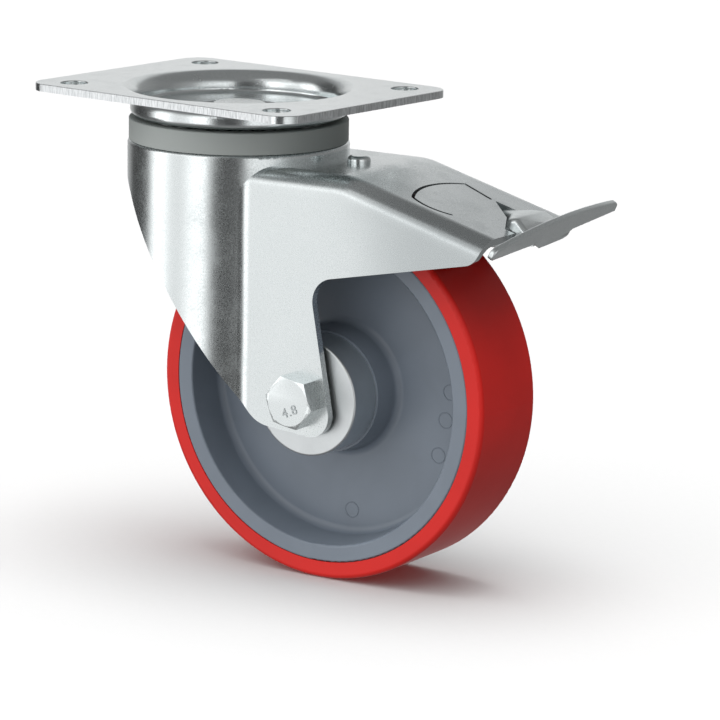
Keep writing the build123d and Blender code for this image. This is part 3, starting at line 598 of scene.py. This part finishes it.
class CASTOR_OT_marks(Operator):
    """Add the round moulding marks on the wheel's near web"""

    bl_idname = "castor.marks"
    bl_label = "Moulding marks"

    places = ((5, -50), (45, -22), (48, -7.5), (50, 4))
    web_face = -3 * MM
    sides = 40

    def execute(self, context):
        """Each mark is a ring, placed in millimetres from the axle and then given its height."""
        sizes = context.scene.castor_sizes
        shape = bmesh.new()
        upright = Matrix.Rotation(pi / 2, 4, "X")
        share = 1 - sizes.mark_line / sizes.mark_radius
        for x, z in self.places:
            centre = Vector((x * MM, self.web_face, z * MM))
            ring = bmesh.ops.create_circle(
                shape, segments=self.sides, radius=sizes.mark_radius,
                matrix=Matrix.Translation(centre) @ upright)
            edges = [e for e in shape.edges if e.verts[0] in ring["verts"]]
            band = bmesh.ops.extrude_edge_only(shape, edges=edges)["geom"]
            inner = [v for v in band if isinstance(v, bmesh.types.BMVert)]
            for v in inner:
                v.co = centre + (v.co - centre) * share
        flat = bmesh.ops.extrude_face_region(shape, geom=shape.faces[:])["geom"]
        for v in flat:
            if isinstance(v, bmesh.types.BMVert):
                v.co.y -= sizes.mark_height
        for v in shape.verts:
            v.co = FORK_TURN @ (v.co + Vector((TRAIL, 0, -WHEEL_DROP)))
        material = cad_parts["wheel_centre"].material_slots[0].material
        finished_piece("moulding_marks", shape, material, "wheel")
        return {"FINISHED"}


class CASTOR_OT_stage(Operator):
    """Lay the pale floor, hang the soft lights and set the camera"""

    bl_idname = "castor.stage"
    bl_label = "Studio"

    mirrored_bands = (
        (-180, 0.8), (-168, 0.72), (-152, 0.4), (-137, 0.06), (-106, 0.05), (-95, 1.75), (-84, 1.7),
        (-72, 0.94), (-58, 0.9), (-46, 1.5), (-34, 1.7), (-24, 0.08), (5, 0.07), (12, 1.1), (40, 0.9),
        (58, 0.35), (95, 0.22), (150, 0.3), (163, 0.76), (180, 0.74),
    )
    soft_light = (
        (-180, 0.3), (-130, 0.7), (-90, 1.3), (-50, 1.5), (-10, 1.1), (20, 0.55), (60, 0.22), (120, 0.14),
        (180, 0.3),
    )
    mirrored_ceiling_edge = (0.42, 0.72)
    soft_ceiling_edge = (0.6, 0.88)
    ground_edge = (-0.25, -0.7)
    mirrored_ceiling = 0.2
    mirrored_ground = 0.24
    ceiling_light = 2.2
    ground_light = 0.4
    backdrop_light = 0.97
    sensor_width = 36
    clip_range = (0.05, 100)
    floor_radius = 12
    floor_sides = 96
    floor_gap = 0.2 * MM
    floor_tones = (0.52, 0.535)
    key_place = (0.9, -1.1, 1.0)
    key_size = 1.1
    key_power = 2.0
    overhead_power = 2.0
    overhead_spread = radians(38)

    def execute(self, context):
        """Right, up and back are the camera's own axes, and level is its right without the roll."""
        sizes = context.scene.castor_sizes
        az, el, roll = sizes.camera_azimuth, sizes.camera_elevation, sizes.camera_roll
        back = Vector((sin(az) * cos(el), -cos(az) * cos(el), sin(el)))
        level = Vector((cos(az), sin(az), 0))
        upward = back.cross(level)
        right = cos(roll) * level + sin(roll) * upward
        up = -sin(roll) * level + cos(roll) * upward
        target = WHEEL_CENTRE + sizes.target_right * right + sizes.target_up * up
        camera = bpy.data.objects.new("camera", bpy.data.cameras.new("camera"))
        context.scene.collection.objects.link(camera)
        camera.data.sensor_fit = "HORIZONTAL"
        camera.data.sensor_width = self.sensor_width
        camera.data.lens = sizes.camera_lens
        camera.data.clip_start, camera.data.clip_end = self.clip_range
        turn = Matrix((right, up, back)).transposed().to_4x4()
        camera.matrix_world = Matrix.Translation(target + back * sizes.camera_distance) @ turn
        context.scene.camera = camera
        self.floor()
        self.surroundings(az)
        near, aside, high = self.key_place
        self.key_light(back * near + level * aside + Vector((0, 0, high)))
        self.overhead_light()
        context.scene.view_settings.view_transform = "Standard"
        return {"FINISHED"}

    def floor(self):
        """Pale ground just under the wheel, which stays out of the plating and of the soft light."""
        shape = bmesh.new()
        under_wheel = Matrix.Translation((0, 0, FLOOR - self.floor_gap))
        bmesh.ops.create_circle(
            shape, cap_ends=True, segments=self.floor_sides, radius=self.floor_radius, matrix=under_wheel)
        mesh = bpy.data.meshes.new("floor")
        shape.to_mesh(mesh)
        shape.free()
        floor = bpy.data.objects.new("floor", mesh)
        bpy.context.scene.collection.objects.link(floor)
        paper = new_finish("pale_floor")
        first, second = self.floor_tones
        tone = paper.tint(paper.noise(300), (first,) * 3, (second,) * 3)
        mesh.materials.append(paper.surface(Base_Color=tone, Roughness=0.9, Specular_IOR_Level=0.1))
        floor.visible_glossy = False
        floor.visible_diffuse = False

    def surroundings(self, az):
        """White and dark walls round the castor, which the plating mirrors as bands."""
        world = bpy.data.worlds.new("studio")
        bpy.context.scene.world = world
        walls = Finish(world)
        way = walls.node("ShaderNodeTexCoord", output="Generated")
        x, y, z = walls.axes(way)
        side = x * cos(az) + y * sin(az)
        front = x * sin(az) - y * cos(az)
        angle = side.maths("ARCTAN2", side, front) * (0.5 / pi) + 0.5
        mirrored = self.round_wall(walls, angle, self.mirrored_bands)
        lit = self.round_wall(walls, angle, self.soft_light)
        above = walls.between(z, *self.soft_ceiling_edge)
        overhead = walls.between(z, *self.mirrored_ceiling_edge)
        below = walls.between(z, *self.ground_edge)
        mirrored = walls.tint(overhead, mirrored, (self.mirrored_ceiling,) * 3)
        mirrored = walls.tint(below, mirrored, (self.mirrored_ground,) * 3)
        lit = walls.tint(above, lit, (self.ceiling_light,) * 3)
        lit = walls.tint(below, lit, (self.ground_light,) * 3)
        glossy = walls.node("ShaderNodeLightPath", output="Is Glossy Ray")
        light = walls.tint(glossy, lit, mirrored)
        seen = walls.node("ShaderNodeLightPath", output="Is Camera Ray")
        light = walls.tint(seen, light, (self.backdrop_light,) * 3)
        backdrop = walls.tree.nodes["Background"]
        walls.feed(backdrop.inputs["Color"], light)
        backdrop.inputs["Strength"].default_value = 1.0

    def round_wall(self, walls, angle, bands):
        """Light of the wall by the angle from the camera, in degrees, to the picture's right."""
        return walls.ramp(angle, [(degree / 360 + 0.5, light) for degree, light in bands])

    def key_light(self, place):
        """Square soft light that faces the wheel."""
        lamp = bpy.data.lights.new("key_light", "AREA")
        lamp.shape = "SQUARE"
        lamp.size = self.key_size
        lamp.energy = self.key_power
        light = bpy.data.objects.new("key_light", lamp)
        light.location = place
        light.rotation_mode = "QUATERNION"
        light.rotation_quaternion = (place - WHEEL_CENTRE).to_track_quat("Z", "Y")
        bpy.context.scene.collection.objects.link(light)

    def overhead_light(self):
        """Soft light straight from above, for the shadow on the floor."""
        lamp = bpy.data.lights.new("overhead_light", "SUN")
        lamp.energy = self.overhead_power
        lamp.angle = self.overhead_spread
        light = bpy.data.objects.new("overhead_light", lamp)
        light.visible_glossy = False
        bpy.context.scene.collection.objects.link(light)


class CASTOR_PT_sidebar(Panel):
    """Sizes and colours of the castor, and the buttons that make its pieces"""

    bl_idname = "CASTOR_PT_sidebar"
    bl_label = "Swivel castor"
    bl_space_type = "VIEW_3D"
    bl_region_type = "UI"
    bl_category = "Castor"

    def draw(self, context):
        for group in (context.scene.castor_colours, context.scene.castor_sizes):
            for key in group.bl_rna.properties.keys():
                if key not in ("rna_type", "name"):
                    self.layout.prop(group, key)
        for operator in OPERATORS:
            self.layout.operator(operator.bl_idname)


OPERATORS = (
    CASTOR_OT_metal, CASTOR_OT_wheel, CASTOR_OT_pedal, CASTOR_OT_bolt, CASTOR_OT_marks, CASTOR_OT_stage,
)
CLASSES = (CastorColours, CastorSizes, *OPERATORS, CASTOR_PT_sidebar)


def register():
    for made in CLASSES:
        bpy.utils.register_class(made)
    bpy.types.Scene.castor_colours = PointerProperty(type=CastorColours)
    bpy.types.Scene.castor_sizes = PointerProperty(type=CastorSizes)


def unregister():
    del bpy.types.Scene.castor_sizes
    del bpy.types.Scene.castor_colours
    for made in reversed(CLASSES):
        bpy.utils.unregister_class(made)


def main():
    register()
    bpy.ops.castor.metal()
    bpy.ops.castor.wheel()
    bpy.ops.castor.pedal()
    bpy.ops.castor.bolt()
    bpy.ops.castor.marks()
    bpy.ops.castor.stage()


if __name__ == "__main__":
    main()
